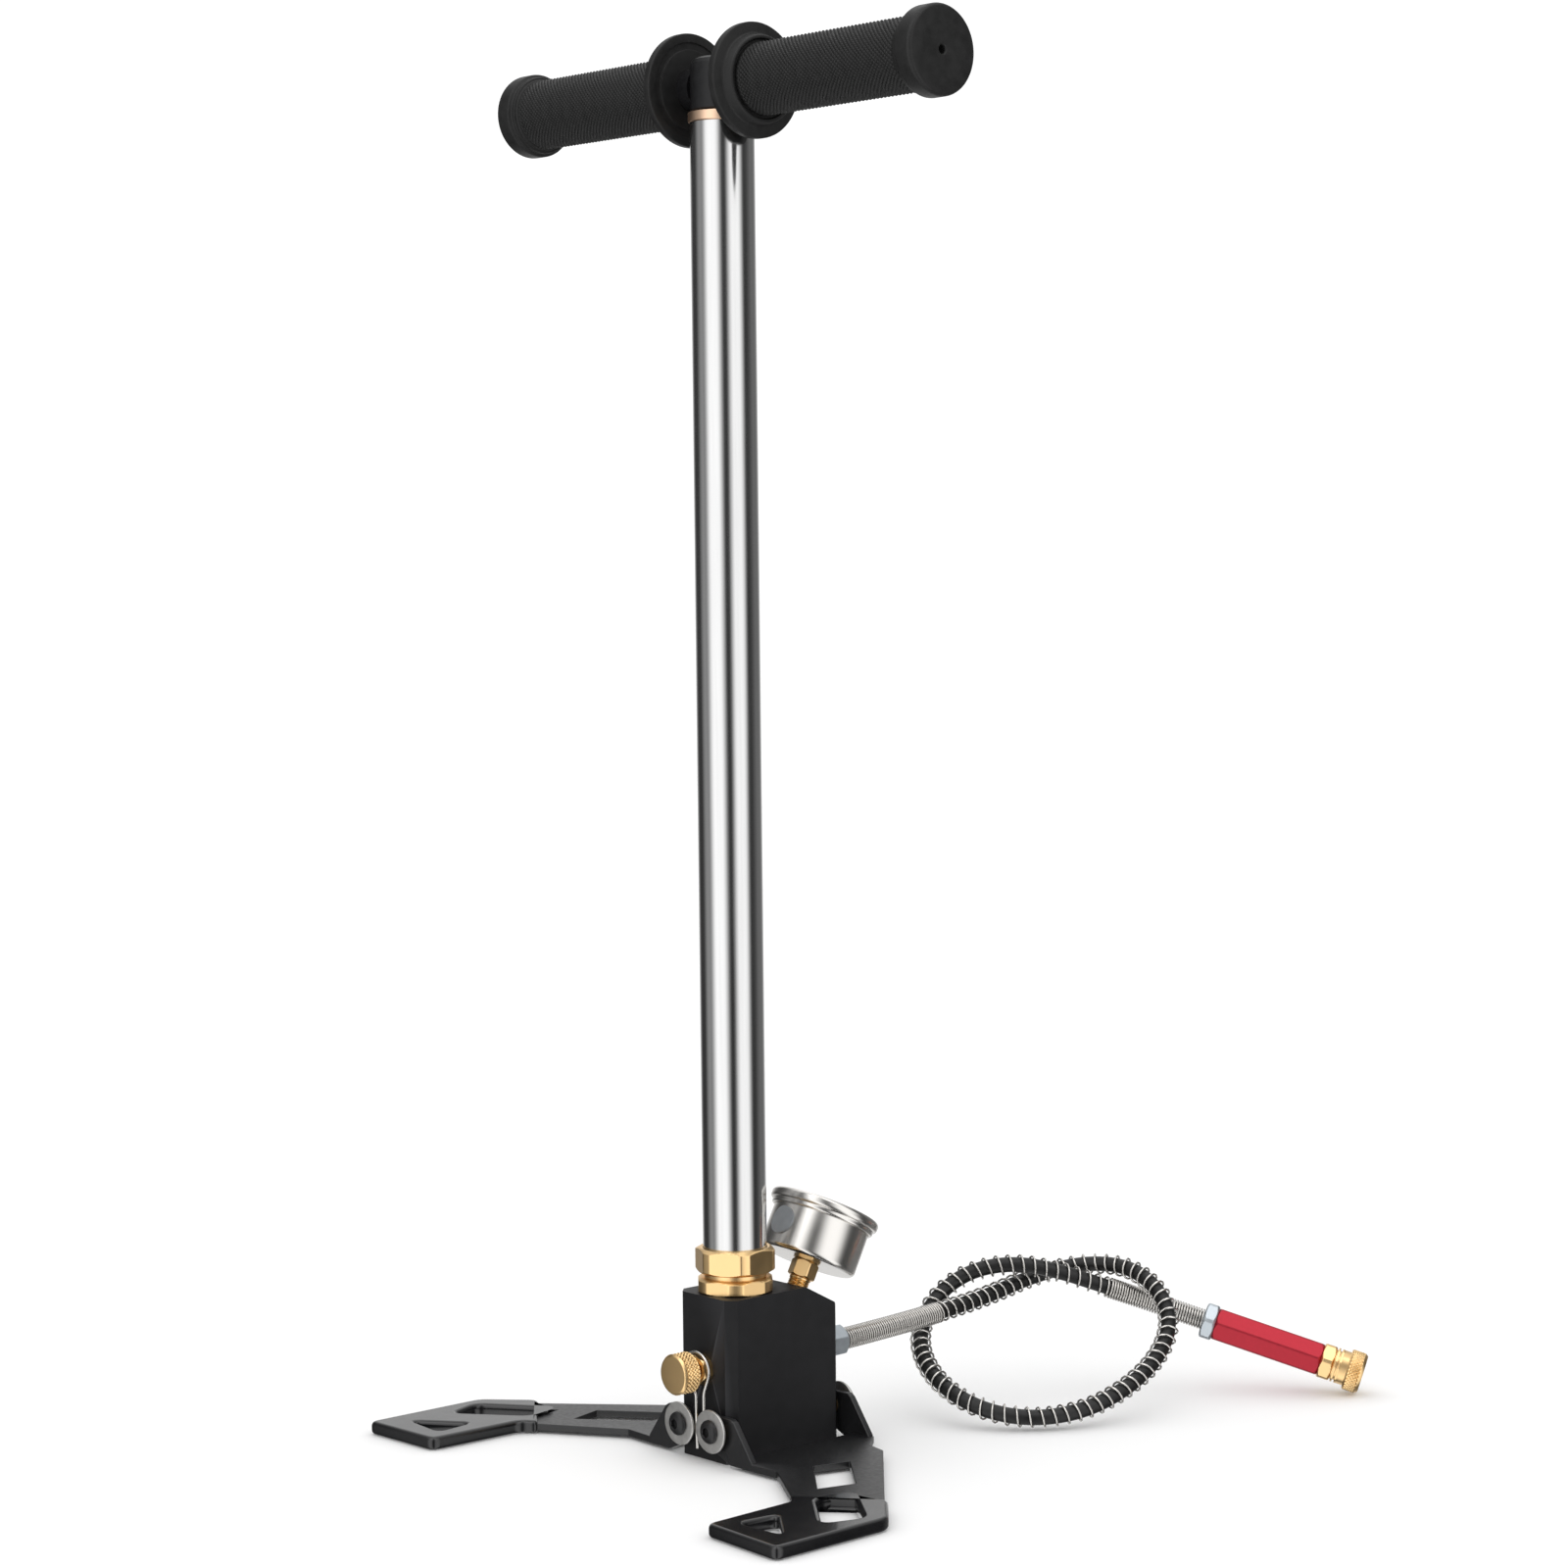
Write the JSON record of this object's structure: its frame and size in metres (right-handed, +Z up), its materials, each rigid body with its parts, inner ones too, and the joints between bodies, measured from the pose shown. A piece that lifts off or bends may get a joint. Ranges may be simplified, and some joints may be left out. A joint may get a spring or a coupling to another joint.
{
  "type": "stirrup air pump",
  "caption": "Tall three-stage stirrup air pump with T-handle, gauge, fold-up foot plates, bleed screw and a spring-guarded hose ending in a quick coupler.",
  "frame": {"origin": "on the floor under the barrel's axis", "axes": "+Z up the barrel, +X to the rear towards the gauge and hose, +Y to the left foot"},
  "size_m": [0.3857, 0.277, 0.6188],
  "materials": {
    "polished_stainless": "polished",
    "bronze": "satin",
    "brass": "turned, polished",
    "black_rubber": "matt",
    "grip_rubber": "moulded, knurled",
    "hose_rubber": "smooth",
    "grey_rubber": "matt",
    "steel": "ground",
    "spring_steel": "bright wire",
    "washer_steel": "satin",
    "gauge_steel": "drawn and polished",
    "black_screw": "black oxide",
    "black_enamel": "satin enamel",
    "aluminium": "turned",
    "black_anodised": "matt anodised",
    "red_anodised": "glossy anodised",
    "powder_coat": "fine powder coat",
    "dipped_vinyl": "dipped, glossy",
    "black_plastic": "matt",
    "glass": "clear",
    "dial_white": "printed white",
    "needle_black": "satin",
    "zinc": "zinc plated",
    "sintered_bronze": "sintered"
  },
  "bodies": {
    "pump": {"outer_tube": "polished_stainless", "gland_bush": "bronze", "gland_wiper": "black_rubber", "union_o_ring": "black_rubber", "base_union": "brass", "barrel_nut": "brass", "inner_tube": "steel", "second_stage_piston": "brass", "second_stage_seal": "black_rubber", "base_block": "black_anodised", "hinge_screws": "black_screw", "hinge_bushes": "brass", "hinge_washers": "washer_steel", "bleed_collar": "brass", "bleed_clip": "spring_steel", "gauge_stem": "brass", "gauge_case": "gauge_steel", "gauge_bezel": "gauge_steel", "gauge_lens": "glass", "gauge_dial": "dial_white", "gauge_base": "brass", "gauge_spindle_housing": "brass", "bourdon_tube": "brass", "gauge_vent_plug": "grey_rubber", "outlet_fitting": "zinc", "hose": "hose_rubber", "hose_spring_guard": "spring_steel", "hose_end_nut": "zinc", "filter_body": "red_anodised", "filter_element": "sintered_bronze", "coupler_body": "brass", "coupler_balls": "steel", "coupler_o_ring": "black_rubber", "coupler_spring": "brass", "check_spring": "spring_steel"},
    "piston": {"piston_seal": "black_rubber", "piston_guide_ring": "black_plastic"},
    "plunger": {"piston_tube": "polished_stainless", "first_stage_piston": "aluminium", "rod_anchor": "brass", "third_stage_rod": "steel", "third_stage_seal": "black_rubber", "handle_boss": "black_enamel", "handle_arm_left": "black_enamel", "handle_arm_right": "black_enamel", "grip_left": "grip_rubber", "grip_right": "grip_rubber"},
    "left_foot": {"foot_plate_left": "powder_coat", "foot_coat_left": "dipped_vinyl"},
    "right_foot": {"foot_plate_right": "powder_coat", "foot_coat_right": "dipped_vinyl"},
    "bleed_carrier": {"bleed_o_ring": "black_rubber"},
    "bleed_valve": {"bleed_screw": "brass"},
    "needle": {"gauge_needle": "needle_black"},
    "sleeve": {"coupler_sleeve": "brass"},
    "valve_ball": {"check_ball": "steel"}
  },
  "joints": [
    {"name": "pump_stroke", "type": "slide", "parent": "pump", "child": "piston", "axis": [0, 0, 1], "range_m": [0, 0.425]},
    {"name": "handle_turn", "type": "hinge", "parent": "piston", "child": "plunger", "pos_m": [0, 0, 0.3], "axis": [0, 0, 1], "continuous": true},
    {"name": "left_foot_fold", "type": "hinge", "parent": "pump", "child": "left_foot", "pos_m": [0.014, 0.0105, 0.015], "axis": [1, 0, 0], "range_deg": [0, 88]},
    {"name": "right_foot_fold", "type": "hinge", "parent": "pump", "child": "right_foot", "pos_m": [0.014, -0.0105, 0.015], "axis": [-1, 0, 0], "range_deg": [0, 88]},
    {"name": "bleed_travel", "type": "slide", "parent": "pump", "child": "bleed_carrier", "axis": [-1, 0, 0], "range_m": [0, 0.0015]},
    {"name": "bleed_turn", "type": "hinge", "parent": "bleed_carrier", "child": "bleed_valve", "pos_m": [-0.03, 0, 0.04], "axis": [-1, 0, 0], "range_deg": [0, 540]},
    {"name": "needle_turn", "type": "hinge", "parent": "pump", "child": "needle", "pos_m": [0.05119, 0, 0.09594], "axis": [-0.4695, 0, -0.8829], "range_deg": [0, 270], "stiffness_Nm_per_rad": 0.0001},
    {"name": "sleeve_pull", "type": "slide", "parent": "pump", "child": "sleeve", "axis": [-0.5552, 0.7772, 0.2961], "range_m": [0, 0.003], "stiffness_N_per_m": 400, "springref_m": -0.002, "deforming": ["coupler_spring"]},
    {"name": "ball_lift", "type": "slide", "parent": "pump", "child": "valve_ball", "axis": [0, 0, -1], "range_m": [0, 0.0008], "stiffness_N_per_m": 150, "springref_m": -0.0005, "deforming": ["check_spring"]}
  ],
  "couplings": [
    {"joint": "bleed_travel", "follows": "bleed_turn", "m_per_rad": 0.00015915}
  ]
}
